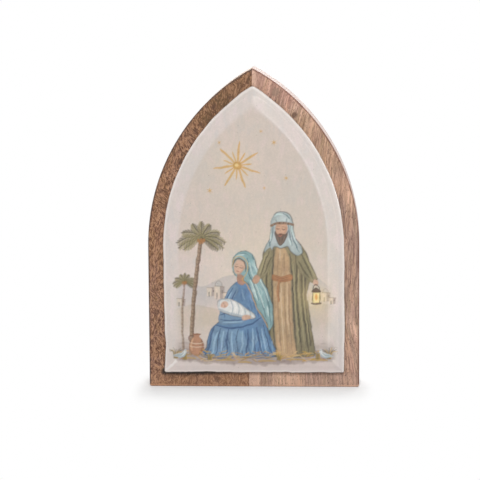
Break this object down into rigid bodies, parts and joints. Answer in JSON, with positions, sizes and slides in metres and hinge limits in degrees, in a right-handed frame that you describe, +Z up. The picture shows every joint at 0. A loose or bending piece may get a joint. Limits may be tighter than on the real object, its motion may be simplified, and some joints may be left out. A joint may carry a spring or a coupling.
{
  "type": "shelf sitter ornament",
  "caption": "Free-standing pointed-arch wooden block of edge-glued boards, with a raised enamelled sheet panel carrying a printed picture on its front.",
  "frame": {"origin": "middle of the ornament's footprint box, on the surface that it stands on", "axes": "+Z up; the picture faces -Y; +X to the right as seen from the picture's side"},
  "size_m": [0.1676, 0.0378, 0.254],
  "materials": {
    "dark_wood": "sanded, thinly waxed, darker board",
    "pale_wood": "sanded, thinly waxed, paler board",
    "cream_enamel": "satin cream enamel on pressed steel sheet",
    "fired_print": "thin printed transfer fired into the enamel",
    "adhesive": "set construction adhesive, off-white"
  },
  "bodies": {
    "root": {"board_left": "dark_wood", "board_right": "pale_wood", "enamel_panel": "cream_enamel", "picture_transfer": "fired_print", "adhesive_dab_1": "adhesive", "adhesive_dab_2": "adhesive", "adhesive_dab_3": "adhesive", "adhesive_dab_4": "adhesive", "adhesive_dab_5": "adhesive"}
  },
  "joints": []
}
